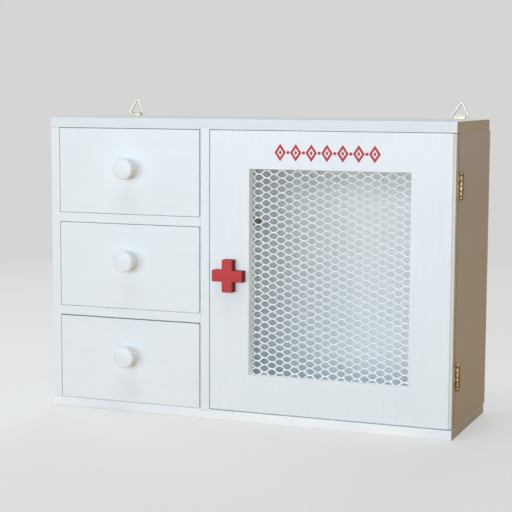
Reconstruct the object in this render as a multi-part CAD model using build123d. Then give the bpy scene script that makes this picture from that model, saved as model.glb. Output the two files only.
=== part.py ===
from build123d import *
import math
import os

# A wall cabinet of painted boards: three drawers on the left and a netted door on the right.
# Lengths are millimetres. X runs to the right, Y to the back and Z up.
# The origin is the middle of the base, and the front faces towards -Y.

# Carcass
width = 400
height = 282
depth = 127
board = 9
top_thickness = 9.6
back_thickness = 4.5
drawer_bay = 148.3
housing_depth = 1.7
edge_round = 0.5

# Drawers, from the lowest to the highest
drawer_names = ("bottom_drawer", "middle_drawer", "top_drawer")
drawer_top_gaps = (0.9, 0.4, 0.5)
knob_rises = (5, 6, 3)
drawer_bottom_gap = 0.25
drawer_left_gap = 0.5
drawer_right_gap = 1
drawer_front_thickness = 9
drawer_box_play = 1.2
drawer_side_thickness = 6
drawer_side_drop = 17.6
drawer_back_gap = 10
drawer_bottom_thickness = 3
drawer_bottom_lift = 4
groove_depth = 3
groove_play = 0.15

# Knobs
knob_radius = 10
knob_length = 15
knob_foot_radius = 8.5
knob_foot_height = 1.4
knob_waist_radius = 7.6
knob_waist_height = 4.5
knob_rim_height = 4.6
knob_rim_round = 1.8
knob_crown = 0.5
knob_waist_slope = 0.3
knob_crown_slope = 0.12
knob_screw_radius = 2
knob_screw_head_radius = 3.6
knob_screw_grip = 9

# Door
door_thickness = 9
door_left_gap = 0.7
door_right_inset = 0.8
door_top_gap = 0.6
door_bottom_gap = 1.2
door_chamfer = 2.6
stile_left = 39.3
stile_right = 40.5
rail_top = 35.1
rail_bottom = 34.4

# Wire net and the battens that hold it
net_thickness = 0.9
net_strand = 1.7
net_overlap = 8
net_pitch_x = 11
net_pitch_z = 10
net_flat = 5
net_rim = 1.7
batten_width = 12
batten_thickness = 4
batten_setback = 1
brad_radius = 0.6
brad_head_radius = 0.9
brad_head_thickness = 0.5
batten_brad_edge = 2.5
batten_brad_bite = 5
batten_brads_per_side = 3

# Plus-shaped handle
handle_span = 30.4
handle_arm = 10.6
handle_depth = 9
handle_from_door_edge = 20.7
handle_height = 137.6
handle_face_round = 1.2
handle_corner_round = 0.6
handle_screw_radius = 1.5
handle_screw_head_radius = 2.9
handle_screw_grip = 6
handle_screw_pitch = 18

# Butt hinges
hinge_length = 17.6
hinge_from_end = 56
knuckle_count = 4
knuckle_gap = 0.4
knuckle_wall = 1.2
knuckle_round = 0.5
hinge_side_gap = 0.4
leaf_thickness = 0.8
leaf_gap = 0.2
leaf_setback = 0.5
barrel_gap = 0.25
pin_radius = 1
pin_play = 0.05
pin_ball_radius = 2.1
hinge_screw_radius = 1
hinge_screw_head_radius = 1.9
hinge_screw_pitch = 11
door_leaf_screw_length = 7
frame_leaf_screw_length = 12

# Magnetic catch on the divider and its plate on the door
catch_above_handle = 3.4
catch_body_length = 18
catch_flange_length = 34
catch_body_width = 12
catch_flange_thickness = 3
catch_body_depth = 14
magnet_width = 7
magnet_length = 12
magnet_depth = 9
magnet_proud = 0.5
catch_screw_radius = 1.3
catch_screw_head_radius = 2.5
catch_screw_length = 10
catch_corner_round = 1
catch_gap = 0.3
strike_thickness = 1
strike_width = 9
strike_length = 20
strike_corner_round = 1
strike_screw_length = 8

# Hanging rings and their plates
hanger_inset = 29
wire_radius = 0.95
ring_play = 0.1
ring_half_width = 8.5
ring_peaks = {"left": (0.8, 15.5), "right": (1.7, 14.6)}
ring_bend = 1.7
ring_end_gap = 0.3
plate_width = 10
plate_thickness = 0.8
plate_lift = 1
roll_lift = 1.8
hanger_screw_radius = 1.2
hanger_screw_head_radius = 2.1
hanger_screw_length = 12

# Shelf pegs
peg_below_shelf = 7.8
peg_radius = 5
peg_length = 10
peg_shank_radius = 2.5
peg_shank_length = 7
peg_from_front = 19
peg_from_rear = 17
peg_round = 0.8

# Nails of the carcass
back_nail_radius = 0.8
back_nail_head_radius = 1.7
back_nail_head_thickness = 0.6
back_nail_bite = 12
back_nail_rows = 4
back_nail_from_end = 22
carcass_brad_length = 24
carcass_brad_cover = 1.5
carcass_brad_edge = 20
carcass_brads_per_joint = 3

# Cross recesses of the screws, as shares of the head
recess_length_share = 0.6
recess_width_share = 0.14
recess_depth_share = 0.8

# Planes that follow from the sizes above
left = -width / 2
right = width / 2
front = -depth / 2
rear = depth / 2
floor_top = board
ceiling = height - top_thickness
bay_left = left + board
divider_left = bay_left + drawer_bay
divider_right = divider_left + board
divider_middle = divider_left + board / 2
room_right = right - board
back_face = rear + back_thickness
drawer_count = len(drawer_names)
opening_height = (ceiling - floor_top - (drawer_count - 1) * board) / drawer_count
drawer_floors = [floor_top + n * (opening_height + board) for n in range(drawer_count)]
drawer_middle_x = (bay_left + divider_left) / 2

door_left = divider_right + door_left_gap
door_right = right - door_right_inset
door_bottom = floor_top + door_bottom_gap
door_top = ceiling - door_top_gap
door_back = front + door_thickness
window_left = door_left + stile_left
window_right = right - stile_right
window_bottom = door_bottom + rail_bottom
window_top = door_top - rail_top
window_middle_x = (window_left + window_right) / 2
window_middle_z = (window_bottom + window_top) / 2
net_back = door_back + net_thickness
net_left = window_left - net_overlap
net_right = window_right + net_overlap
net_bottom = window_bottom - net_overlap
net_top = window_top + net_overlap
handle_x = door_left + handle_from_door_edge

side_front = door_back + hinge_side_gap
hinge_y = door_back + hinge_side_gap / 2
door_leaf_back = hinge_y - leaf_gap / 2
frame_leaf_front = hinge_y + leaf_gap / 2
bore_radius = pin_radius + pin_play
barrel_radius = bore_radius + knuckle_wall
hinge_x = right + barrel_gap + barrel_radius
leaf_left = room_right + leaf_setback
leaf_middle = (leaf_left + right) / 2
hinge_heights = {"lower": hinge_from_end, "upper": height - hinge_from_end}

catch_height = handle_height + catch_above_handle
catch_x = divider_right + catch_body_width / 2
magnet_front = door_back + strike_thickness + catch_gap
catch_front = magnet_front + magnet_proud

peg_height = drawer_floors[-1] - board / 2 - peg_below_shelf

roll_inner = wire_radius + ring_play
roll_outer = roll_inner + plate_thickness
ring_axis_y = rear + roll_outer
ring_axis_z = height + roll_lift
hanger_places = {"left": left + hanger_inset, "right": right - hanger_inset}

# Turns that point a part built along +Z towards a side of the cabinet
FACE_FRONT = Rot(90, 0, 0)
FACE_BACK = Rot(-90, 0, 0)
FACE_RIGHT = Rot(0, 90, 0)
FACE_LEFT = Rot(0, -90, 0)
FACE_DOWN = Rot(180, 0, 0)


def block(x0, x1, y0, y1, z0, z1):
    """A box between two corners."""
    middle = Pos((x0 + x1) / 2, (y0 + y1) / 2, (z0 + z1) / 2)
    return middle * Box(x1 - x0, y1 - y0, z1 - z0)


def eased(part, axis, radius=edge_round):
    """The part with its edges along one axis rounded."""
    return fillet(part.edges().filter_by(axis), radius)


def front_eased(part, axis):
    """The part with its foremost edges along one axis rounded."""
    return fillet(part.edges().filter_by(axis).group_by(Axis.Y)[0], edge_round)


def screw_room(radius, head_radius, length):
    """The room of a flat-headed screw: the head's face at the origin, the shank towards -Z."""
    sink = head_radius - radius
    head = Pos(0, 0, -sink / 2) * Cone(radius, head_radius, sink)
    shank = Pos(0, 0, -length / 2) * Cylinder(radius, length)
    return head + shank


def flat_screw(radius, head_radius, length):
    """A flat-headed screw with a cross recess."""
    screw = screw_room(radius, head_radius, length)
    recess_length = 2 * head_radius * recess_length_share
    recess_width = 2 * head_radius * recess_width_share
    recess_depth = (head_radius - radius) * recess_depth_share
    for turn in (0, 90):
        screw -= Rot(0, 0, turn) * Box(recess_length, recess_width, 2 * recess_depth)
    return screw


def nail(radius, head_radius, head_thickness, length):
    """A nail with the face of its head at the origin and its point towards -Z."""
    head = Pos(0, 0, -head_thickness / 2) * Cylinder(head_radius, head_thickness)
    return head + Pos(0, 0, -length / 2) * Cylinder(radius, length)


def placed(part, places):
    """One copy of the part at each place."""
    return [place * part for place in places]


def spread(low, high, count):
    """Evenly spaced values from low to high."""
    return [low + (high - low) * n / (count - 1) for n in range(count)]


def back_nail_places():
    """Nails through the back panel into the side panels and the divider."""
    columns = (left + board / 2, divider_middle, right - board / 2)
    heights = spread(floor_top + back_nail_from_end, ceiling - back_nail_from_end, back_nail_rows)
    return [Pos(x, back_face, z) * FACE_BACK for x in columns for z in heights]


def carcass_brad_places():
    """Hidden brads through the top and bottom boards, and through the uprights into the shelves."""
    depths = spread(side_front + carcass_brad_edge, rear - carcass_brad_edge, carcass_brads_per_joint)
    places = []
    for x in (left + board / 2, divider_middle, right - board / 2):
        for y in depths:
            places.append(Pos(x, y, height - carcass_brad_cover))
            places.append(Pos(x, y, carcass_brad_cover) * FACE_DOWN)
    for z in [base - board / 2 for base in drawer_floors[1:]]:
        for y in depths:
            places.append(Pos(left + carcass_brad_cover, y, z) * FACE_LEFT)
            places.append(Pos(divider_right - carcass_brad_cover, y, z) * FACE_RIGHT)
    return places


def frame_leaf_screw_places():
    """Screws of the hinge leaves on the side panel's front edge."""
    offsets = (-hinge_screw_pitch / 2, hinge_screw_pitch / 2)
    heights = [middle + offset for middle in hinge_heights.values() for offset in offsets]
    return [Pos(leaf_middle, frame_leaf_front, z) * FACE_FRONT for z in heights]


def door_leaf_screw_places():
    """Screws of the hinge leaves on the back of the door."""
    offsets = (-hinge_screw_pitch / 2, hinge_screw_pitch / 2)
    heights = [middle + offset for middle in hinge_heights.values() for offset in offsets]
    return [Pos(leaf_middle, door_leaf_back, z) * FACE_BACK for z in heights]


def catch_screw_places():
    """Screws through the flanges of the catch into the divider."""
    offset = (catch_body_length + catch_flange_length) / 4
    x = divider_right + catch_flange_thickness
    y = catch_front + catch_body_depth / 2
    return [Pos(x, y, catch_height + side * offset) * FACE_RIGHT for side in (-1, 1)]


def handle_screw_places():
    """Screws from the back of the door into the handle."""
    offset = handle_screw_pitch / 2
    return [Pos(handle_x, door_back, handle_height + side * offset) * FACE_BACK for side in (-1, 1)]


def hanger_screw_places():
    """Screws through the hanger plates into the rear edge of the top board."""
    y = rear + plate_thickness
    z = (ceiling + height) / 2
    return [Pos(x, y, z) * FACE_BACK for x in hanger_places.values()]


def peg_places():
    """Four shelf pegs, two on the divider and two on the right side panel."""
    depths = (front + peg_from_front, rear - peg_from_rear)
    on_divider = [Pos(divider_right, y, peg_height) * FACE_RIGHT for y in depths]
    on_side = [Pos(room_right, y, peg_height) * FACE_LEFT for y in depths]
    return on_divider + on_side


def shelf_peg():
    """A peg along +Z: its shank below the origin and its round body above."""
    body = Pos(0, 0, peg_length / 2) * Cylinder(peg_radius, peg_length)
    body = fillet(body.edges().sort_by(Axis.Z)[-1], peg_round)
    return body + Pos(0, 0, -peg_shank_length / 2) * Cylinder(peg_shank_radius, peg_shank_length)


def long_board(z0, z1, seam):
    """The top or bottom board, eased along its length and where its ends meet the side panels."""
    plain = block(left, right, front, rear, z0, z1)
    ends = plain.edges().filter_by(Axis.Y).group_by(Axis.Z)[seam]
    return fillet(plain.edges().filter_by(Axis.X) + ends, edge_round)


def make_carcass():
    """The fixed boards, with the room of every nail, screw and peg taken out of them."""
    back_nail = nail(back_nail_radius, back_nail_head_radius, back_nail_head_thickness,
                     back_thickness + back_nail_bite)
    brad = nail(brad_radius, brad_head_radius, brad_head_thickness, carcass_brad_length)
    back_nails = placed(back_nail, back_nail_places())
    brads = placed(brad, carcass_brad_places())
    leaf_screws = placed(screw_room(hinge_screw_radius, hinge_screw_head_radius,
                                    frame_leaf_screw_length), frame_leaf_screw_places())
    catch_screws = placed(screw_room(catch_screw_radius, catch_screw_head_radius,
                                     catch_screw_length), catch_screw_places())
    hanger_screws = placed(screw_room(hanger_screw_radius, hanger_screw_head_radius,
                                      hanger_screw_length), hanger_screw_places())
    pegs = placed(shelf_peg(), peg_places())

    divider = block(divider_left, divider_right, front, rear,
                    floor_top - housing_depth, ceiling + housing_depth)
    divider = front_eased(divider, Axis.Z)
    top = long_board(ceiling, height, 0)
    bottom = long_board(0, floor_top, -1)
    housing = block(divider_left, divider_right, front, rear,
                    floor_top - housing_depth, ceiling + housing_depth)
    left_side = front_eased(block(left, bay_left, front, rear, floor_top, ceiling), Axis.Z)
    right_side = block(room_right, right, side_front, rear, floor_top, ceiling)
    back = block(left, right, rear, back_face, floor_top, ceiling)

    parts = {
        "top_board": top - housing - brads - hanger_screws,
        "bottom_board": bottom - housing - brads,
        "left_side_panel": left_side - brads - back_nails,
        "right_side_panel": right_side - brads - back_nails - leaf_screws - pegs
                            - leaf_rooms(side_front, frame_leaf_front + leaf_thickness),
        "divider_panel": divider - brads - back_nails - catch_screws - pegs,
        "back_panel": back - back_nails,
        "back_panel_nails": Compound(back_nails),
        "carcass_brads": Compound(brads),
        "shelf_pegs": Compound(pegs),
    }
    shelf_names = ("lower_drawer_shelf", "upper_drawer_shelf")
    for name, base in zip(shelf_names, drawer_floors[1:]):
        shelf = block(bay_left, divider_left, front, rear, base - board, base)
        parts[name] = front_eased(shelf, Axis.X) - brads
    return parts


def make_catch():
    """The magnetic catch behind the free edge of the door."""
    y1 = catch_front + catch_body_depth
    half_flange = catch_flange_length / 2
    half_body = catch_body_length / 2
    flange = block(divider_right, divider_right + catch_flange_thickness, catch_front, y1,
                   catch_height - half_flange, catch_height + half_flange)
    body = block(divider_right, divider_right + catch_body_width, catch_front, y1,
                 catch_height - half_body, catch_height + half_body)
    magnet = block(catch_x - magnet_width / 2, catch_x + magnet_width / 2,
                   magnet_front, magnet_front + magnet_depth,
                   catch_height - magnet_length / 2, catch_height + magnet_length / 2)
    room = screw_room(catch_screw_radius, catch_screw_head_radius, catch_screw_length)
    screw = flat_screw(catch_screw_radius, catch_screw_head_radius, catch_screw_length)
    housing = eased(body, Axis.Y, catch_corner_round) + flange
    return {
        "catch_housing": housing - magnet - placed(room, catch_screw_places()),
        "catch_magnet": magnet,
        "catch_screws": Compound(placed(screw, catch_screw_places())),
    }


def leaf_rooms(y0, y1):
    """The pockets that the hinge leaves lie in."""
    half = hinge_length / 2
    return [block(leaf_left, right, y0, y1, middle - half, middle + half)
            for middle in hinge_heights.values()]


def knuckle_bands(middle, first):
    """The heights of every second knuckle, starting at the given one."""
    pitch = hinge_length / knuckle_count
    base = middle - hinge_length / 2
    return [(base + n * pitch + knuckle_gap / 2, base + (n + 1) * pitch - knuckle_gap / 2)
            for n in range(first, knuckle_count, 2)]


def hinge_leaf(middle, y0, y1, first):
    """One leaf of a butt hinge, with its knuckles beside the cabinet."""
    half = hinge_length / 2
    leaf = block(leaf_left, right, y0, y1, middle - half, middle + half)
    for low, high in knuckle_bands(middle, first):
        knuckle = Cylinder(barrel_radius, high - low)
        knuckle = fillet(knuckle.edges().filter_by(GeomType.CIRCLE), knuckle_round)
        leaf += block(right, hinge_x, y0, y1, low, high)
        leaf += Pos(hinge_x, hinge_y, (low + high) / 2) * knuckle
    return leaf - Pos(hinge_x, hinge_y, middle) * Cylinder(bore_radius, 2 * hinge_length)


def hinge_pin(middle):
    """A hinge pin with a ball on each end."""
    pin = Pos(hinge_x, hinge_y, middle) * Cylinder(pin_radius, hinge_length + pin_ball_radius)
    reach = hinge_length / 2 + math.sqrt(pin_ball_radius ** 2 - bore_radius ** 2)
    for side in (-1, 1):
        pin += Pos(hinge_x, hinge_y, middle + side * reach) * Sphere(pin_ball_radius)
    return pin


def make_hinges():
    """Both butt hinges: a fixed leaf and pin, a leaf on the door, and their screws."""
    frame_room = screw_room(hinge_screw_radius, hinge_screw_head_radius, frame_leaf_screw_length)
    door_room = screw_room(hinge_screw_radius, hinge_screw_head_radius, door_leaf_screw_length)
    frame_rooms = placed(frame_room, frame_leaf_screw_places())
    door_rooms = placed(door_room, door_leaf_screw_places())
    parts = {}
    for name, middle in hinge_heights.items():
        frame_leaf = hinge_leaf(middle, frame_leaf_front, frame_leaf_front + leaf_thickness, 0)
        door_leaf = hinge_leaf(middle, door_leaf_back - leaf_thickness, door_leaf_back, 1)
        parts[name + "_hinge_frame_leaf"] = frame_leaf - frame_rooms
        parts[name + "_hinge_door_leaf"] = door_leaf - door_rooms
        parts[name + "_hinge_pin"] = hinge_pin(middle)
    frame_screw = flat_screw(hinge_screw_radius, hinge_screw_head_radius, frame_leaf_screw_length)
    door_screw = flat_screw(hinge_screw_radius, hinge_screw_head_radius, door_leaf_screw_length)
    parts["hinge_frame_screws"] = Compound(placed(frame_screw, frame_leaf_screw_places()))
    parts["hinge_door_screws"] = Compound(placed(door_screw, door_leaf_screw_places()))
    return parts


def hanger_plate(x):
    """A plate on the rear edge of the top board, rolled round the ring's base bar."""
    half = plate_width / 2
    plate = block(x - half, x + half, rear, rear + plate_thickness,
                  ceiling + plate_lift, ring_axis_z)
    axis = Pos(x, ring_axis_y, ring_axis_z) * FACE_RIGHT
    roll = plate + axis * Cylinder(roll_outer, plate_width)
    return roll - axis * Cylinder(roll_inner, 2 * plate_width)


def hanging_ring(x, lean, peak):
    """A triangle of wire standing up, open at the foot of its right leg."""
    bar_end = ring_half_width - wire_radius - ring_end_gap - wire_radius
    corners = [
        (x + bar_end, ring_axis_y, ring_axis_z),
        (x - ring_half_width, ring_axis_y, ring_axis_z),
        (x + lean, ring_axis_y, ring_axis_z + peak),
        (x + ring_half_width, ring_axis_y, ring_axis_z),
    ]
    path = FilletPolyline(*corners, radius=ring_bend)
    start = Plane(origin=path @ 0, z_dir=path % 0)
    return sweep(start * Circle(wire_radius), path=path)


def make_hangers():
    """Both hanging rings, their plates and screws."""
    room = screw_room(hanger_screw_radius, hanger_screw_head_radius, hanger_screw_length)
    screw = flat_screw(hanger_screw_radius, hanger_screw_head_radius, hanger_screw_length)
    rooms = placed(room, hanger_screw_places())
    parts = {}
    for name, x in hanger_places.items():
        parts[name + "_hanger_plate"] = hanger_plate(x) - rooms
        parts[name + "_hanging_ring"] = hanging_ring(x, *ring_peaks[name])
    parts["hanger_screws"] = Compound(placed(screw, hanger_screw_places()))
    return parts


def door_blank():
    """The door board with its window, its bevelled hinge edge and its eased front edges."""
    blank = block(door_left, door_right, front, door_back, door_bottom, door_top)
    hinge_edge = blank.edges().filter_by(Axis.Z).sort_by(Axis.Y)[:2].sort_by(Axis.X)[-1]
    blank = chamfer(hinge_edge, door_chamfer)
    blank -= block(window_left, window_right, front, door_back, window_bottom, window_top)
    face = blank.faces().sort_by(Axis.Y)[0]
    outer = face.outer_wire().edges()
    free_edge = outer.filter_by(Axis.Z).sort_by(Axis.X)[0]
    window_edges = [edge for wire in face.inner_wires() for edge in wire.edges()]
    return fillet([free_edge] + window_edges, edge_round)


def make_handle():
    """The plus-shaped door handle."""
    plus = Rectangle(handle_span, handle_arm) + Rectangle(handle_arm, handle_span)
    handle = extrude(plus, amount=handle_depth)
    handle = eased(handle, Axis.Z, handle_corner_round)
    handle = fillet(handle.faces().sort_by(Axis.Z)[-1].edges(), handle_face_round)
    return Pos(handle_x, front, handle_height) * FACE_FRONT * handle


def net_cell():
    """The corners of one gap of the net, a hexagon that is flat at its top and bottom."""
    slant_x = net_pitch_x - net_flat
    slant_z = net_pitch_z / 2
    slant = math.hypot(slant_x, slant_z)
    half_height = slant_z - net_strand / 2
    half_width = net_flat / 2 + slant_x - net_strand / 2 * slant / slant_z
    half_flat = half_width - half_height * slant_x / slant_z
    return [
        (-half_width, 0), (-half_flat, -half_height), (half_flat, -half_height),
        (half_width, 0), (half_flat, half_height), (-half_flat, half_height),
    ]


def make_net():
    """The wire net as one holed sheet: every second column is half a cell lower."""
    outline = net_cell()
    cell_width = 2 * max(x for x, z in outline)
    cell_height = 2 * max(z for x, z in outline) + net_pitch_z / 2
    columns = 1 + math.floor((net_right - net_left - 2 * net_rim - cell_width) / net_pitch_x)
    rows = 1 + math.floor((net_top - net_bottom - 2 * net_rim - cell_height) / net_pitch_z)
    cells = []
    for column in range(columns):
        x = window_middle_x + (column - (columns - 1) / 2) * net_pitch_x
        shift = (column % 2 - 0.5) * net_pitch_z / 2
        for row in range(rows):
            z = window_middle_z + (row - (rows - 1) / 2) * net_pitch_z + shift
            points = [(x + dx, door_back, z + dz) for dx, dz in outline]
            cells.append(Wire.make_polygon(points, close=True))
    corners = [
        (net_left, door_back, net_bottom), (net_right, door_back, net_bottom),
        (net_right, door_back, net_top), (net_left, door_back, net_top),
    ]
    sheet = Face(Wire.make_polygon(corners, close=True), cells)
    return extrude(sheet, amount=net_thickness, dir=(0, 1, 0))


def batten_brad_places():
    """Brads through the battens into the door, outside the edge of the net."""
    reach = batten_setback + batten_width - batten_brad_edge
    y = net_back + batten_thickness
    places = []
    for x in spread(window_left, window_right, batten_brads_per_side):
        places.append(Pos(x, y, window_bottom - reach) * FACE_BACK)
        places.append(Pos(x, y, window_top + reach) * FACE_BACK)
    for z in spread(window_bottom + batten_width, window_top - batten_width, batten_brads_per_side):
        places.append(Pos(window_left - reach, y, z) * FACE_BACK)
        places.append(Pos(window_right + reach, y, z) * FACE_BACK)
    return places


def make_battens(brads):
    """Four battens behind the edges of the net."""
    y1 = net_back + batten_thickness
    inner = batten_setback
    outer = batten_setback + batten_width
    full = (window_left - outer, window_right + outer)
    battens = [
        block(*full, net_back, y1, window_bottom - outer, window_bottom - inner),
        block(*full, net_back, y1, window_top + inner, window_top + outer),
        block(window_left - outer, window_left - inner, net_back, y1,
              window_bottom - inner, window_top + inner),
        block(window_right + inner, window_right + outer, net_back, y1,
              window_bottom - inner, window_top + inner),
    ]
    return Compound([(batten - brads).solid() for batten in battens])


def make_door():
    """The door: board, net, battens, handle and strike plate, with their fasteners."""
    brad = nail(brad_radius, brad_head_radius, brad_head_thickness,
                batten_thickness + net_thickness + batten_brad_bite)
    brads = placed(brad, batten_brad_places())
    leaf_screws = placed(screw_room(hinge_screw_radius, hinge_screw_head_radius,
                                    door_leaf_screw_length), door_leaf_screw_places())
    handle_length = door_thickness + handle_screw_grip
    handle_rooms = placed(screw_room(handle_screw_radius, handle_screw_head_radius,
                                     handle_length), handle_screw_places())
    handle_screw = flat_screw(handle_screw_radius, handle_screw_head_radius, handle_length)

    plate_back = door_back + strike_thickness
    strike_place = Pos(catch_x, plate_back, catch_height) * FACE_BACK
    strike_room = strike_place * screw_room(catch_screw_radius, catch_screw_head_radius,
                                            strike_screw_length)
    strike_screw = strike_place * flat_screw(catch_screw_radius, catch_screw_head_radius,
                                             strike_screw_length)
    strike = block(catch_x - strike_width / 2, catch_x + strike_width / 2, door_back, plate_back,
                   catch_height - strike_length / 2, catch_height + strike_length / 2)
    board_holes = brads + leaf_screws + handle_rooms + [strike_room]
    board_holes += leaf_rooms(door_leaf_back - leaf_thickness, door_back)
    return {
        "door_board": door_blank() - board_holes,
        "door_net": make_net(),
        "net_battens": make_battens(brads),
        "net_batten_brads": Compound(brads),
        "plus_handle": make_handle() - handle_rooms,
        "handle_screws": Compound(placed(handle_screw, handle_screw_places())),
        "strike_plate": eased(strike, Axis.Y, strike_corner_round) - strike_room,
        "strike_screw": strike_screw,
    }


def make_knob():
    """A turned knob along +Z: foot, waist, and a head with a rounded rim."""
    rim_top = knob_length - knob_crown
    rim_base = rim_top - knob_rim_height
    arc_end = knob_radius - knob_rim_round
    corner = knob_rim_round * (1 - math.sqrt(0.5))
    outline = [
        Line((0, 0), (knob_foot_radius, 0)),
        Line((knob_foot_radius, 0), (knob_foot_radius, knob_foot_height)),
        Spline((knob_foot_radius, knob_foot_height), (knob_waist_radius, knob_waist_height),
               (knob_radius, rim_base), tangents=((-knob_waist_slope, 1), (knob_waist_slope, 1))),
        Line((knob_radius, rim_base), (knob_radius, rim_top - knob_rim_round)),
        ThreePointArc((knob_radius, rim_top - knob_rim_round),
                      (knob_radius - corner, rim_top - corner), (arc_end, rim_top)),
        Spline((arc_end, rim_top), (0, knob_length), tangents=((-1, knob_crown_slope), (-1, 0))),
        Line((0, knob_length), (0, 0)),
    ]
    profile = Plane.XZ * make_face(outline)
    return revolve(profile, Axis.Z)


def make_drawer(name, base, top_gap, knob_rise):
    """One drawer: front, two sides, back, bottom, knob and the screw of the knob."""
    low = base + drawer_bottom_gap
    face_back = front + drawer_front_thickness
    box_back = rear - drawer_back_gap
    box_left = bay_left + drawer_box_play
    box_right = divider_left - drawer_box_play
    inner_left = box_left + drawer_side_thickness
    inner_right = box_right - drawer_side_thickness
    side_top = base + opening_height - drawer_side_drop
    groove_low = low + drawer_bottom_lift
    groove_high = groove_low + drawer_bottom_thickness + 2 * groove_play
    groove = block(inner_left - groove_depth, inner_right + groove_depth,
                   face_back - groove_depth, box_back, groove_low, groove_high)
    bottom = block(inner_left - groove_depth + groove_play, inner_right + groove_depth - groove_play,
                   face_back - groove_depth + groove_play, box_back,
                   groove_low + groove_play, groove_high - groove_play)

    screw_length = drawer_front_thickness + knob_screw_grip
    knob_z = base + opening_height / 2 + knob_rise
    screw_place = Pos(drawer_middle_x, face_back, knob_z) * FACE_BACK
    screw_hole = screw_place * screw_room(knob_screw_radius, knob_screw_head_radius, screw_length)
    screw = screw_place * flat_screw(knob_screw_radius, knob_screw_head_radius, screw_length)
    knob = Pos(drawer_middle_x, front, knob_z) * FACE_FRONT * make_knob()

    panel = block(bay_left + drawer_left_gap, divider_left - drawer_right_gap, front, face_back,
                  low, base + opening_height - top_gap)
    panel = fillet(panel.faces().sort_by(Axis.Y)[0].edges(), edge_round)
    side_left = block(box_left, inner_left, face_back, box_back, low, side_top)
    side_right = block(inner_right, box_right, face_back, box_back, low, side_top)
    back = block(inner_left, inner_right, box_back - drawer_side_thickness, box_back,
                 groove_high, side_top)
    return {
        name + "_front": panel - groove - screw_hole,
        name + "_left_side": side_left - groove,
        name + "_right_side": side_right - groove,
        name + "_back": back,
        name + "_bottom": bottom,
        name + "_knob": knob - screw_hole,
        name + "_knob_screw": screw,
    }


def make_cabinet():
    """Every sub-part by name."""
    parts = make_carcass()
    parts.update(make_catch())
    parts.update(make_hinges())
    parts.update(make_hangers())
    parts.update(make_door())
    for name, base, top_gap, rise in zip(drawer_names, drawer_floors, drawer_top_gaps, knob_rises):
        parts.update(make_drawer(name, base, top_gap, rise))
    return parts


os.makedirs("parts", exist_ok=True)
for part_name, shape in make_cabinet().items():
    export_step(shape, "parts/" + part_name + ".step")
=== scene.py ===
import math

import bmesh
import bpy
from mathutils import Matrix, Vector


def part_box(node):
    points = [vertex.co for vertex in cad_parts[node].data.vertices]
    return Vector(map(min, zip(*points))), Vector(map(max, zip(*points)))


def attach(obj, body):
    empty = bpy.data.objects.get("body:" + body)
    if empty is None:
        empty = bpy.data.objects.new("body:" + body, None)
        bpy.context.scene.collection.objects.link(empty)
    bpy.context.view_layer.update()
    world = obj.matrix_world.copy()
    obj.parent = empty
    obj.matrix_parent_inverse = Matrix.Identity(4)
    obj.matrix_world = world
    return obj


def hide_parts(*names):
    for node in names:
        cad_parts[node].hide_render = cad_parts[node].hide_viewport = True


# The looks of a white wooden wall cabinet: painted boards, a netted door, brass and bare wood.
# Lengths are metres. X runs to the right, Y to the back and Z up, as in the frame.
# Colours are in linear light.

MM = 0.001

# Camera, at the photograph's place
camera_place = (0.50285, -1.30773, 0.30725)
camera_yaw = math.radians(21.477)
camera_pitch = math.radians(6.42)
camera_roll = math.radians(0.236)
camera_lens = 102.72
camera_sensor = 36

# Lamps: name, place, target, width, height, power in watts and colour
cabinet_middle = (0, 0, 0.14)
front_light = (0.825, 0.925, 0.995)
lamps = (
    ("key_lamp", (-0.7, -3.0, 0.5), cabinet_middle, 2.4, 1.2, 52.5, front_light),
    ("front_lamp", (0.9, -2.9, 0.5), cabinet_middle, 1.8, 1.2, 34.5, front_light),
    ("top_lamp", (0, -0.6, 2.3), (0, 0, 0.1), 1.4, 1.0, 20, (0.93, 0.97, 1)),
    ("back_lamp", (-0.6, 2.6, 1.4), cabinet_middle, 1.6, 1.2, 41, (0.84, 0.93, 1)),
    ("left_lamp", (-2.8, 0.9, 0.9), cabinet_middle, 1.4, 1.2, 42, (0.80, 0.91, 1)),
)
light_bounces = 12

# World: its light, and what the camera and reflections see of it
world_light = 0.098
world_tint = (1, 0.76, 0.42)
world_shown = 0.7
world_pale = (0.95, 0.95, 0.945)

# Floor, as the camera sees it and as it lights the cabinet
floor_half = 6
floor_seen = (0.45, 0.448, 0.44)
floor_glow = (1, 1, 0.995)
floor_glow_near = 0.40
floor_glow_far = 0.66
floor_bounce = (0.59, 0.36, 0.17)
floor_rough = 0.7
floor_fade_start = 0.4
floor_fade_end = 1.4

# Wire net
net_pitch_x = 7.517 * MM
net_pitch_z = 6.715 * MM
net_flat = 3.4 * MM
net_strand = 1.35 * MM
net_cell_x = 12.37 * MM
net_cell_z = 228.4 * MM
net_lean = 0.008
net_tilt = 0.0019
net_wobble = 0.05 * MM
net_wobble_length = 31 * MM
net_wobble_x = (0.23, 0.61)
net_wobble_z = (0.47, -0.31)
net_corner_reach = 0.35 * MM
net_hole_round = 0.95 * MM
net_profile_steps = 4
net_overlap = 8 * MM
net_merge = 0.01 * MM

# Row of printed lozenges above the window
ornament_left = 31 * MM
ornament_right = 131.6 * MM
ornament_middle_z = 252.4 * MM
ornament_height = 16 * MM
ornament_lozenges = 7
lozenge_width = 11 * MM
lozenge_border = 2.1 * MM
lozenge_core = 0.5
dot_radius = 1.5 * MM
dot_sides = 24
print_thickness = 0.12 * MM

# Noise textures: scale, detail, roughness and, for the swirls, distortion
fibre_noise = (420, 5, 0.6)
roller_noise = (900, 2, 0.5)
cloud_noise = (9, 4, 0.55)
flow_noise = (26, 3, 0.5)
pore_noise = (1500, 3, 0.6)
patch_noise = (260, 4, 0.6)
scratch_noise = (1800, 2, 0.5)
swirl_noise = (120, 3, 0.5, 1.2)
sparkle_noise = (2600, 2, 0.5)

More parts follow.
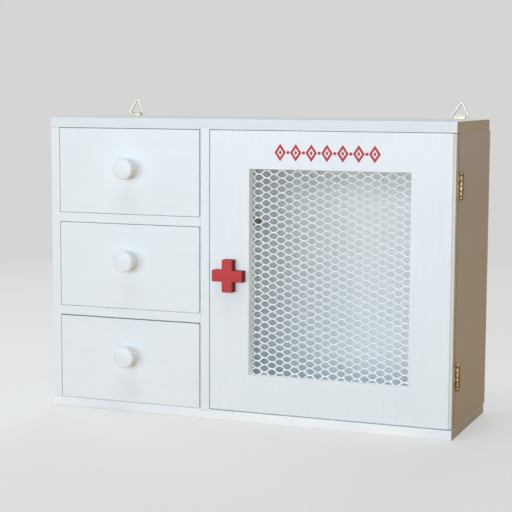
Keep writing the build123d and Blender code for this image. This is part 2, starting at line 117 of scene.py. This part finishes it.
# Bumps: strength and depth
roller_bump = (0.10, 0.06 * MM)
fibre_bump = (0.16, 0.08 * MM)
pore_bump = (0.3, 0.1 * MM)
ring_bump = (0.15, 0.15 * MM)
scratch_bump = (0.12, 0.03 * MM)
sparkle_bump = (0.2, 0.03 * MM)

# Ranges of noise that turn into a share of a colour, and the most of that share
cloud_range = (0.3, 0.72)
fibre_range = (0.35, 0.7)
flow_range = (0.35, 0.7)
pore_range = (0.5, 0.75)
patch_range = (0.42, 0.68)
swirl_range = (0.35, 0.7)
fibre_share = 0.22
flow_share = 0.6
pore_share = 0.5

# Ranges of noise that turn into roughness, and how far that moves it
smooth_range = (0.3, 0.7)
patch_rough_range = (0.35, 0.7)
scratch_rough_range = (0.4, 0.7)
paint_rough_rise = 0.1
wood_roughness = (0.5, 0.68)
patch_rough_shift = (-0.06, 0.12)
scratch_rough_shift = (-0.03, 0.05)
swirl_rough_shift = (-0.05, 0.07)

# How much coordinates are squeezed along the grain, which draws the texture out there
fibre_stretch = 0.06
flow_stretch = 0.12
ring_stretch = 0.03
pore_stretch = 0.04
scratch_stretch = 0.08

# Paint: its gloss and roughness, its dark fibres, and dark lines where two boards meet
paint_gloss = 0.5
paint_rough = 0.36
dull_gloss = 0.25
matt_rough = 0.55
red_gloss = 0.02
print_gloss = 0.08
fibre_dark = 0.9
seam_core = 0.2 * MM
seam_reach = 0.7 * MM
seam_share = 0.5
seam_dark = 0.45

# Where one paint gives way to another: where the painted light and shade on the white begin and
# end
paint_blend = 0.5 * MM
ledge_core = 0.1 * MM
ledge_reach = 0.3 * MM
side_turn = (0.25, 0.8)
full_turn = 0.8
divider_edge_depth = 10 * MM
knob_face_depth = 1.6 * MM
board_end_width = 0.6 * MM
side_inner_width = 3 * MM
hinge_gap_depth = 0.8 * MM
door_face_depth = 0.4 * MM
base_edge_depth = 2 * MM

# Paints. The photograph's light makes the white a little different from place to place. Many
# whites below are copies of the one white paint, lighter or darker, that paint in light and shade.
white = (0.76, 0.822, 0.888)
white_shade = (0.731, 0.798, 0.864)
# Painted shade: a less blue copy of the white on side faces in shade, the right side panel's
# outside and the divider's faces behind its front edge.
shaded_side_white = (0.817, 0.817, 0.817)
# Painted light: the bottom board's front edge has its own bluer copy of the white, tuned to the
# light there.
base_edge_lit_white = (0.71, 0.78, 0.885)
# Painted shade: the top board's upward faces are darker than the white.
top_shaded_white = (0.755, 0.803, 0.836)
# Painted light: the top board's right end is lighter and warmer than the white.
end_lit_white = (0.95, 0.945, 0.88)
# Painted light: the window's sill is lighter than the white.
sill_lit_white = (0.97, 0.985, 0.99)
# Painted shade on the knobs' upward faces and painted light on their downward faces.
knob_top_shade = (0.703, 0.75, 0.788)
knob_underside_light = (0.92, 0.98, 1.0)
# Painted light: the knobs' sides behind the face are lighter than the white.
knob_side_lit_white = (0.98, 1.0, 0.965)
net_white = (0.807, 0.841, 0.864)
net_shade = (0.779, 0.817, 0.845)
# Painted shade: a dark line on the right side panel's front edge, in the gap at the hinges.
hinge_gap_shade = (0.36, 0.295, 0.22)
# Painted light: the right side panel's inside faces and the top board's underside are lighter than
# the white.
inner_lit_white = (0.96, 0.955, 0.94)
# Painted light: the door's edges and the window's jambs are lighter than the white.
jamb_lit_white = (0.92, 0.995, 1.0)
# Painted light: inside the cabinet the back panel and the bottom board's top are lighter than the
# white.
interior_lit_white = (0.90, 0.955, 0.99)
interior_lit_tone = (0.88, 0.935, 0.975)
red = (0.55, 0.0735, 0.082)
red_shade = (0.468, 0.058, 0.0645)
# Painted shade: the plus handle's sides are darker than its front.
red_side_shade = 0.48

# Bare wood: early and late rings, paler flow and dark pores
wood_early = (0.66, 0.50, 0.31)
wood_late = (0.50, 0.335, 0.175)
wood_flow = (0.70, 0.54, 0.35)
wood_pore = (0.36, 0.22, 0.11)
wood_gloss = 0.35
wood_rings = {"Scale": 34.0, "Distortion": 5.0, "Detail": 2.0, "Detail_Scale": 1.2}

# Metals: clean and tarnished colour, roughness and the most of the tarnish
antique_brass = ((0.43, 0.32, 0.17), (0.21, 0.125, 0.055), 0.46, 0.7)
bright_brass = ((0.62, 0.60, 0.50), (0.50, 0.465, 0.35), 0.42, 0.4)
dull_brass = ((0.54, 0.505, 0.40), (0.44, 0.40, 0.29), 0.48, 0.4)
zinc_steel = ((0.66, 0.67, 0.68), (0.42, 0.43, 0.45), 0.32, 0.7)

# Plastics and the magnet: their two colours and roughness
white_plastic = ((0.76, 0.76, 0.74), (0.70, 0.70, 0.68), 0.42)
brown_plastic = ((0.46, 0.42, 0.34), (0.27, 0.235, 0.175), 0.4)
black_magnet = ((0.05, 0.05, 0.052), (0.085, 0.08, 0.08), 0.55)

drawers = ("bottom_drawer", "middle_drawer", "top_drawer")


def add(tree, kind, settings=None, **inputs):
    """A new shader node with its settings and inputs, each a value or another node's output."""
    made = tree.nodes.new(kind)
    for name, value in (settings or {}).items():
        setattr(made, name, value)
    for name, value in inputs.items():
        socket = made.inputs[name.replace("_", " ")]
        if isinstance(value, bpy.types.NodeSocket):
            tree.links.new(value, socket)
        else:
            socket.default_value = value
    return made


def mix(tree, factor, first, second):
    """A colour between two colours."""
    made = tree.nodes.new("ShaderNodeMix")
    made.data_type = "RGBA"
    for index, value in ((0, factor), (6, first), (7, second)):
        if isinstance(value, bpy.types.NodeSocket):
            tree.links.new(value, made.inputs[index])
        else:
            made.inputs[index].default_value = (*value, 1)
    return made.outputs[2]


def math_node(tree, operation, *values):
    """The result of one sum on values or outputs."""
    made = tree.nodes.new("ShaderNodeMath")
    made.operation = operation
    for index, value in enumerate(values):
        if isinstance(value, bpy.types.NodeSocket):
            tree.links.new(value, made.inputs[index])
        else:
            made.inputs[index].default_value = value
    return made.outputs[0]


def spread(tree, value, low, high, new_low=0.0, new_high=1.0):
    """A value moved from one range to another, and held inside it."""
    return add(tree, "ShaderNodeMapRange", Value=value, From_Min=low, From_Max=high,
               To_Min=new_low, To_Max=new_high).outputs["Result"]


def split(tree, vector):
    """The outputs X, Y and Z of a vector."""
    return add(tree, "ShaderNodeSeparateXYZ", Vector=vector).outputs


def place(tree, stretch=(1, 1, 1)):
    """The object's own coordinates, stretched along each axis."""
    own = tree.nodes.new("ShaderNodeTexCoord").outputs["Object"]
    return add(tree, "ShaderNodeMapping", Vector=own, Scale=stretch).outputs["Vector"]


def noise(tree, vector, scale, detail, roughness, distortion=0.0):
    """Soft noise from 0 to 1."""
    return add(tree, "ShaderNodeTexNoise", Vector=vector, Scale=scale, Detail=detail,
               Roughness=roughness, Distortion=distortion).outputs["Fac"]


def bump(tree, height, strength, distance, under=None):
    """A bump from a height, on top of another bump."""
    made = add(tree, "ShaderNodeBump", Height=height, Strength=strength, Distance=distance)
    if under is not None:
        tree.links.new(under, made.inputs["Normal"])
    return made.outputs["Normal"]


def near(tree, height, level, core, reach, share):
    """A share close to one level that falls to nothing further from it."""
    away = math_node(tree, "ABSOLUTE", math_node(tree, "SUBTRACT", height, level))
    return spread(tree, away, core, reach, share, 0.0)


def new_material(name, **constants):
    """A material with its node tree and shader. The constants go on the shader's own sockets."""
    made = bpy.data.materials.new(name)
    made.use_nodes = True
    shader = made.node_tree.nodes["Principled BSDF"]
    for socket, value in constants.items():
        shader.inputs[socket.replace("_", " ")].default_value = value
    return made, made.node_tree, shader


def connect(tree, shader, colour, roughness, normal):
    """Links a material's colour, roughness and bump to its shader."""
    tree.links.new(colour, shader.inputs["Base Color"])
    tree.links.new(roughness, shader.inputs["Roughness"])
    tree.links.new(normal, shader.inputs["Normal"])


def darker(colour, share):
    """A share of a colour."""
    return tuple(share * part for part in colour)


def grain_stretch(along, ratio):
    """Coordinates squeezed along the grain, so that noise is drawn out into fibres there."""
    return tuple(ratio if axis == along else 1.0 for axis in "XYZ")


def past(axis, start, other, blend=paint_blend):
    """Another paint from some place on along an axis, for the argument beyond of painted."""
    return axis, start, start + blend, other


def painted(name, along, first=white, second=white_shade, gloss=paint_gloss, rough=paint_rough,
            seams=(), side_share=1.0, beyond=(), ledge=None, turned=None):
    """Satin paint on a board: faint fibres along the board, roller texture and cloudy colour.

    seams are heights with dark lines. side_share darkens the faces at the sides, a painted shade.
    beyond lists other paints from some place on along an axis; in this script they paint light and
    shade, or bring back the plain white. ledge is a height with its own paint from some depth on,
    a painted light. turned has the paints of what faces up and of what faces down: painted shade
    above and painted light below.
    """
    made, tree, shader = new_material(name, Specular_IOR_Level=gloss)
    fibres = noise(tree, place(tree, grain_stretch(along, fibre_stretch)), *fibre_noise)
    roller = noise(tree, place(tree), *roller_noise)
    clouds = noise(tree, place(tree), *cloud_noise)
    colour = mix(tree, spread(tree, clouds, *cloud_range), first, second)
    depth = spread(tree, fibres, *fibre_range, 0.0, fibre_share)
    colour = mix(tree, depth, colour, darker(second, fibre_dark))
    own = split(tree, place(tree))
    for level in seams:
        line = near(tree, own["Z"], level, seam_core, seam_reach, seam_share)
        colour = mix(tree, line, colour, darker(first, seam_dark))
    for axis, start, end, other in beyond:
        colour = mix(tree, spread(tree, own[axis], start, end), colour, other)
    if ledge is not None:
        level, start, other = ledge
        level_share = near(tree, own["Z"], level, ledge_core, ledge_reach, 1.0)
        further = spread(tree, own["Y"], start, start + paint_blend)
        colour = mix(tree, math_node(tree, "MULTIPLY", level_share, further), colour, other)
    facing = split(tree, tree.nodes.new("ShaderNodeTexCoord").outputs["Normal"])
    if side_share < 1:
        frontal = math_node(tree, "ABSOLUTE", facing["Y"])
        sideways = spread(tree, frontal, *side_turn, 1.0, 0.0)
        colour = mix(tree, sideways, colour, darker(first, side_share))
    if turned is not None:
        upper, lower = turned
        colour = mix(tree, spread(tree, facing["Z"], 0.0, full_turn), colour, upper)
        colour = mix(tree, spread(tree, facing["Z"], 0.0, -full_turn), colour, lower)
    shine = spread(tree, clouds, *smooth_range, rough, rough + paint_rough_rise)
    normal = bump(tree, fibres, *fibre_bump, bump(tree, roller, *roller_bump))
    connect(tree, shader, colour, shine, normal)
    return made


def bare_wood(name, along):
    """Pale sanded softwood with early and late rings along one axis."""
    made, tree, shader = new_material(name, Specular_IOR_Level=wood_gloss)
    flow = noise(tree, place(tree, grain_stretch(along, flow_stretch)), *flow_noise)
    rings = add(tree, "ShaderNodeTexWave", {"wave_type": "BANDS", "bands_direction": "DIAGONAL"},
                Vector=place(tree, grain_stretch(along, ring_stretch)), **wood_rings)
    rings = rings.outputs["Fac"]
    pores = noise(tree, place(tree, grain_stretch(along, pore_stretch)), *pore_noise)
    colour = mix(tree, rings, wood_early, wood_late)
    colour = mix(tree, spread(tree, flow, *flow_range, 0.0, flow_share), colour, wood_flow)
    colour = mix(tree, spread(tree, pores, *pore_range, 0.0, pore_share), colour, wood_pore)
    shine = spread(tree, pores, *smooth_range, *wood_roughness)
    normal = bump(tree, rings, *ring_bump, bump(tree, pores, *pore_bump))
    connect(tree, shader, colour, shine, normal)
    return made


def shifted(rough, shift):
    """The lowest and highest of a roughness that shifts."""
    return rough + shift[0], rough + shift[1]


def metal(name, clean, tarnished, rough, tarnish):
    """Metal with tarnish in patches and fine scratches."""
    made, tree, shader = new_material(name, Metallic=1.0)
    patches = noise(tree, place(tree), *patch_noise)
    scratches = noise(tree, place(tree, grain_stretch("Z", scratch_stretch)), *scratch_noise)
    colour = mix(tree, spread(tree, patches, *patch_range, 0.0, tarnish), clean, tarnished)
    shine = spread(tree, patches, *patch_rough_range, *shifted(rough, patch_rough_shift))
    wear = spread(tree, scratches, *scratch_rough_range, *scratch_rough_shift)
    shine = math_node(tree, "ADD", shine, wear)
    connect(tree, shader, colour, shine, bump(tree, scratches, *scratch_bump))
    return made


def plastic(name, first, second, rough):
    """Moulded plastic with a fine sparkle texture and faint flow marks."""
    made, tree, shader = new_material(name)
    swirls = noise(tree, place(tree), *swirl_noise)
    sparkle = noise(tree, place(tree), *sparkle_noise)
    colour = mix(tree, spread(tree, swirls, *swirl_range), first, second)
    shine = spread(tree, swirls, *smooth_range, *shifted(rough, swirl_rough_shift))
    connect(tree, shader, colour, shine, bump(tree, sparkle, *sparkle_bump))
    return made


def give(material, *names):
    """The material on each of these nodes of the frame."""
    for name in names:
        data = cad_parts[name].data
        data.materials.clear()
        data.materials.append(material)


def link(name, data):
    """A new object in the scene."""
    made = bpy.data.objects.new(name, data)
    bpy.context.scene.collection.objects.link(made)
    return made


def finish_piece(name, mesh, body, material):
    """A new piece that rides on a body and material."""
    piece = link(name, mesh)
    mesh.materials.append(material)
    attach(piece, body)
    return piece


def mesh_from(work, name):
    """The finished mesh of a working mesh, which is freed."""
    mesh = bpy.data.meshes.new(name)
    work.to_mesh(mesh)
    work.free()
    return mesh


def cell_corners():
    """The corners of one cell of the net on the middle lines of its strands."""
    point = net_pitch_x - net_flat / 2
    return [Vector(p) for p in (
        (point, 0), (net_flat / 2, net_pitch_z / 2), (-net_flat / 2, net_pitch_z / 2),
        (-point, 0), (-net_flat / 2, -net_pitch_z / 2), (net_flat / 2, -net_pitch_z / 2))]


def cell_ring(inset, reach):
    """A cell's outline moved inwards, with each corner as three points that round it off."""
    corners = cell_corners()
    count = len(corners)
    ring = []
    for n, corner in enumerate(corners):
        before = (corners[n - 1] - corner).normalized()
        after = (corners[(n + 1) % count] - corner).normalized()
        half_angle = before.angle(after) / 2
        inwards = (before + after).normalized()
        moved = corner + inwards * inset / math.sin(half_angle)
        middle = moved
        if inset:
            radius = reach * math.tan(half_angle)
            middle = moved + inwards * radius * (1 / math.sin(half_angle) - 1)
        ring += [moved + before * reach, middle, moved + after * reach]
    return ring


def waver(x, z, along):
    """How far the net strays at a point, in waves that run along X and Z by these shares."""
    return net_wobble * math.sin(2 * math.pi / net_wobble_length * (along[0] * x + along[1] * z))


def net_bend(x, z):
    """Where a point of the even net lies in the real one, which leans and wavers a little."""
    lean = net_lean * (z - net_cell_z)
    tilt = net_tilt * (x - net_cell_x)
    return x + lean + waver(x, z, net_wobble_x), z + tilt + waver(x, z, net_wobble_z)


def net_profile(middle_y, half_depth):
    """The rings of one cell from front to back, each with its depth."""
    rings = []
    for step in range(net_profile_steps + 1):
        turn = math.pi * step / net_profile_steps
        share = math.sin(turn)
        inset = net_strand / 2 * share if 0 < step < net_profile_steps else 0
        reach = net_corner_reach + (net_hole_round - net_corner_reach) * share
        rings.append((cell_ring(inset, reach), middle_y - half_depth * math.cos(turn)))
    return rings


def net_mesh(low, high):
    """The net between two corners: rounded strands round each cell, as one mesh."""
    rings = net_profile((low.y + high.y) / 2, (high.y - low.y) / 2)
    work = bmesh.new()
    first_column = math.ceil((low.x + net_pitch_x / 2 - net_cell_x) / net_pitch_x)
    last_column = math.floor((high.x - net_pitch_x / 2 - net_cell_x) / net_pitch_x)
    for column in range(first_column, last_column + 1):
        x = net_cell_x + column * net_pitch_x
        shifted = net_cell_z + (column % 2) * net_pitch_z / 2
        first_row = math.ceil((low.z + net_pitch_z / 2 - shifted) / net_pitch_z)
        last_row = math.floor((high.z - net_pitch_z / 2 - shifted) / net_pitch_z)
        for row in range(first_row, last_row + 1):
            z = shifted + row * net_pitch_z
            made = []
            for ring, y in rings:
                places = [net_bend(x + p.x, z + p.y) for p in ring]
                made.append([work.verts.new((px, y, pz)) for px, pz in places])
            for outer, inner in zip(made, made[1:]):
                for n in range(len(outer)):
                    work.faces.new((outer[n - 1], outer[n], inner[n], inner[n - 1]))
    bmesh.ops.remove_doubles(work, verts=work.verts, dist=net_merge)
    for face in work.faces:
        face.smooth = True
    return mesh_from(work, "fine_net")


def plate_from(work, outline, front, back):
    """A thin closed plate with this outline, standing on the front of the door."""
    face = [work.verts.new((x, front, z)) for x, z in outline]
    rear = [work.verts.new((x, back, z)) for x, z in outline]
    work.faces.new(face)
    work.faces.new(rear[::-1])
    for n in range(len(outline)):
        work.faces.new((face[n - 1], rear[n - 1], rear[n], face[n]))


def frame_from(work, outer, inner, front, back):
    """A thin closed border between two outlines."""
    loops = []
    for outline, y in ((outer, front), (inner, front), (inner, back), (outer, back)):
        loops.append([work.verts.new((x, y, z)) for x, z in outline])
    for first, second in zip(loops, loops[1:] + loops[:1]):
        for n in range(len(first)):
            work.faces.new((first[n - 1], first[n], second[n], second[n - 1]))


def lozenge(x, scale):
    """The corners of a lozenge in the row, at a scale from its middle."""
    across = scale * lozenge_width / 2
    up = scale * ornament_height / 2
    z = ornament_middle_z
    return [(x - across, z), (x, z - up), (x + across, z), (x, z + up)]


def disc(x):
    """The outline of a dot in the row."""
    turns = [2 * math.pi * n / dot_sides for n in range(dot_sides)]
    return [(x + dot_radius * math.cos(t), ornament_middle_z + dot_radius * math.sin(t))
            for t in turns]


def ornament_mesh(back):
    """A printed row of hollow lozenges with a small one inside each and dots between them."""
    face = back - print_thickness
    work = bmesh.new()
    first = ornament_left + lozenge_width / 2
    last = ornament_right - lozenge_width / 2
    pitch = (last - first) / (ornament_lozenges - 1)
    edge = math.hypot(lozenge_width, ornament_height)
    hollow = 1 - 2 * lozenge_border * edge / (lozenge_width * ornament_height)
    for n in range(ornament_lozenges):
        x = first + n * pitch
        frame_from(work, lozenge(x, 1), lozenge(x, hollow), face, back)
        plate_from(work, lozenge(x, hollow * lozenge_core), face, back)
        if n:
            plate_from(work, disc(x - pitch / 2), face, back)
    bmesh.ops.recalc_face_normals(work, faces=work.faces)
    return mesh_from(work, "lozenge_row")


def make_floor():
    """A plain pale floor that is seen from above only."""
    mesh = bpy.data.meshes.new("floor")
    corners = ((-1, -1), (1, -1), (1, 1), (-1, 1))
    mesh.from_pydata([(floor_half * x, floor_half * y, 0) for x, y in corners],
                     [], [(0, 1, 2, 3)])
    made, tree, shader = new_material("pale_floor", Roughness=floor_rough, Specular_IOR_Level=0)
    seen = tree.nodes.new("ShaderNodeLightPath").outputs["Is Camera Ray"]
    own = tree.nodes.new("ShaderNodeTexCoord").outputs["Object"]
    away = add(tree, "ShaderNodeVectorMath", {"operation": "LENGTH"}, Vector=own)
    far = spread(tree, away.outputs["Value"], floor_fade_start, floor_fade_end)
    shown = mix(tree, far, floor_seen, (0, 0, 0))
    tree.links.new(mix(tree, seen, floor_bounce, shown), shader.inputs["Base Color"])
    strength = spread(tree, far, 0, 1, floor_glow_near, floor_glow_far)
    shader.inputs["Emission Color"].default_value = (*floor_glow, 1)
    tree.links.new(math_node(tree, "MULTIPLY", seen, strength),
                   shader.inputs["Emission Strength"])
    clear = tree.nodes.new("ShaderNodeBsdfTransparent")
    behind = tree.nodes.new("ShaderNodeNewGeometry").outputs["Backfacing"]
    either = tree.nodes.new("ShaderNodeMixShader")
    for index, output in enumerate((behind, shader.outputs[0], clear.outputs[0])):
        tree.links.new(output, either.inputs[index])
    tree.links.new(either.outputs[0], tree.nodes["Material Output"].inputs["Surface"])
    mesh.materials.append(made)
    link("floor", mesh)


def make_camera():
    """The photograph's camera: yaw to the left, pitch down, and a slight roll."""
    right = Vector((math.cos(camera_yaw), math.sin(camera_yaw), 0))
    forward = Vector((-math.sin(camera_yaw) * math.cos(camera_pitch),
                      math.cos(camera_yaw) * math.cos(camera_pitch), -math.sin(camera_pitch)))
    up = right.cross(forward)
    rolled_right = math.cos(camera_roll) * right + math.sin(camera_roll) * up
    rolled_up = math.cos(camera_roll) * up - math.sin(camera_roll) * right
    data = bpy.data.cameras.new("camera")
    data.lens = camera_lens
    data.sensor_width = camera_sensor
    camera = link("camera", data)
    turn = Matrix((rolled_right, rolled_up, -forward)).transposed()
    camera.matrix_world = Matrix.Translation(camera_place) @ turn.to_4x4()
    bpy.context.scene.camera = camera


def make_lamp(name, place, target, width, height, power, colour):
    """A soft oblong lamp that points at a target."""
    data = bpy.data.lights.new(name, "AREA")
    data.shape = "RECTANGLE"
    data.size = width
    data.size_y = height
    data.energy = power
    data.color = colour
    lamp = link(name, data)
    lamp.location = place
    lamp.rotation_mode = "QUATERNION"
    lamp.rotation_quaternion = (Vector(target) - Vector(place)).to_track_quat("-Z", "Y")


def make_world():
    """Even light from all round, and a paler background for the camera and for reflections."""
    world = bpy.data.worlds.new("studio")
    world.use_nodes = True
    tree = world.node_tree
    tree.nodes.clear()
    path = tree.nodes.new("ShaderNodeLightPath").outputs
    seen = math_node(tree, "MAXIMUM", path["Is Camera Ray"], path["Is Glossy Ray"])
    seen = math_node(tree, "MAXIMUM", seen, path["Is Transmission Ray"])
    soft = add(tree, "ShaderNodeBackground", Color=(*world_tint, 1), Strength=world_light)
    pale = add(tree, "ShaderNodeBackground", Color=(*world_pale, 1), Strength=world_shown)
    either = tree.nodes.new("ShaderNodeMixShader")
    for index, output in enumerate((seen, soft.outputs[0], pale.outputs[0])):
        tree.links.new(output, either.inputs[index])
    out = tree.nodes.new("ShaderNodeOutputWorld")
    tree.links.new(either.outputs[0], out.inputs["Surface"])
    bpy.context.scene.world = world


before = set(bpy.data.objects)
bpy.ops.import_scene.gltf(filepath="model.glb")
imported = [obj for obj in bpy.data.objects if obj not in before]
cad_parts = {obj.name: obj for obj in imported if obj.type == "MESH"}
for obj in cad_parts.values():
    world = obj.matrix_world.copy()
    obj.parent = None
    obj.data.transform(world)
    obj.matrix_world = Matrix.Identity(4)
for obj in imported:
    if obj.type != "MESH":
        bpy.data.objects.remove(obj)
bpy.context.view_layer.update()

carcass_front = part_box("left_side_panel")[0].y
side_low, side_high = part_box("right_side_panel")
divider_low, divider_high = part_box("divider_panel")
door_front, door_back = (corner.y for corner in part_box("door_board"))
knob_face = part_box("top_drawer_knob")[0].y
net_low, net_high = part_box("door_net")
window_sill = net_low.z + net_overlap
side_seams = (side_low.z, side_high.z)

give(painted("white_paint_level", "X"), "lower_drawer_shelf", "upper_drawer_shelf",
     "net_battens", "bottom_drawer_front", "middle_drawer_front", "top_drawer_front")
# Top board: painted shade on its upward faces, painted light on its underside and on its right
# end.
give(painted("white_paint_top", "X", gloss=0, rough=matt_rough, turned=(top_shaded_white, inner_lit_white),
             beyond=[past("X", side_high.x - board_end_width, end_lit_white)]), "top_board")
give(painted("white_paint_side", "Z", seams=side_seams), "left_side_panel")
# Right side panel: painted light on its inside faces, painted shade on its outside and a line of
# painted shade on its front edge in the hinge gap.
give(painted("white_paint_hinge_side", "Z", inner_lit_white, inner_lit_white, dull_gloss, seams=side_seams,
             beyond=[past("X", side_low.x + side_inner_width, shaded_side_white, 2 * paint_blend),
                     past("Y", side_low.y + hinge_gap_depth, hinge_gap_shade, -paint_blend)]),
     "right_side_panel")
# Door: painted light on its edges, the window's jambs and the sill; its back is the plain white.
give(painted("white_paint_door", "Z",
             beyond=[past("Y", door_front + door_face_depth, jamb_lit_white),
                     past("Y", door_back - paint_blend, white)],
             ledge=(window_sill, door_front + door_face_depth, sill_lit_white)), "door_board")
# Painted light inside the cabinet: the back panel, and the bottom board behind its front edge, are
# lighter.
give(painted("white_paint_back", "Z", interior_lit_white, interior_lit_tone), "back_panel")
give(painted("white_paint_base", "X", base_edge_lit_white, interior_lit_tone,
             beyond=[past("Y", carcass_front + base_edge_depth, interior_lit_white)]), "bottom_board")
# Divider: painted shade on its faces behind the front edge.
give(painted("white_paint_divider", "Z", seams=(divider_low.z, divider_high.z),
             beyond=[past("Y", divider_low.y + divider_edge_depth, shaded_side_white)]), "divider_panel")
# Knobs: painted shade on what faces up, painted light on what faces down and on their sides.
give(painted("white_paint_turned", "Y", turned=(knob_top_shade, knob_underside_light),
             beyond=[past("Y", knob_face + knob_face_depth, knob_side_lit_white)]),
     *(drawer + "_knob" for drawer in drawers))
# Plus handle: painted shade on its sides.
give(painted("red_paint", "X", red, red_shade, red_gloss, side_share=red_side_shade),
     "plus_handle")

wood_deep = bare_wood("bare_wood_deep", "Y")
wood_wide = bare_wood("bare_wood_wide", "X")
for drawer in drawers:
    give(wood_deep, drawer + "_left_side", drawer + "_right_side")
    give(wood_wide, drawer + "_back", drawer + "_bottom")

give(metal("antique_brass", *antique_brass), "lower_hinge_frame_leaf",
     "upper_hinge_frame_leaf", "lower_hinge_door_leaf", "upper_hinge_door_leaf",
     "lower_hinge_pin", "upper_hinge_pin", "hinge_frame_screws", "hinge_door_screws")
give(metal("bright_brass", *bright_brass),
     "left_hanging_ring", "right_hanging_ring", "hanger_screws")
give(metal("dull_brass", *dull_brass), "left_hanger_plate", "right_hanger_plate")
give(metal("zinc_steel", *zinc_steel), "back_panel_nails", "carcass_brads",
     "net_batten_brads", "handle_screws", "catch_screws", "strike_plate", "strike_screw",
     *(drawer + "_knob_screw" for drawer in drawers))
give(plastic("white_plastic", *white_plastic), "catch_housing")
give(plastic("brown_plastic", *brown_plastic), "shelf_pegs")
give(plastic("black_magnet", *black_magnet), "catch_magnet")

fine_net = finish_piece("fine_net", net_mesh(net_low, net_high), "door",
                        painted("white_net_paint", "X", net_white, net_shade))
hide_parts("door_net")
finish_piece("lozenge_row", ornament_mesh(door_front), "door",
             painted("red_print", "X", red, red_shade, print_gloss))

make_floor()
make_camera()
for lamp in lamps:
    make_lamp(*lamp)
make_world()
bpy.context.scene.cycles.diffuse_bounces = light_bounces
bpy.context.scene.view_settings.view_transform = "Standard"
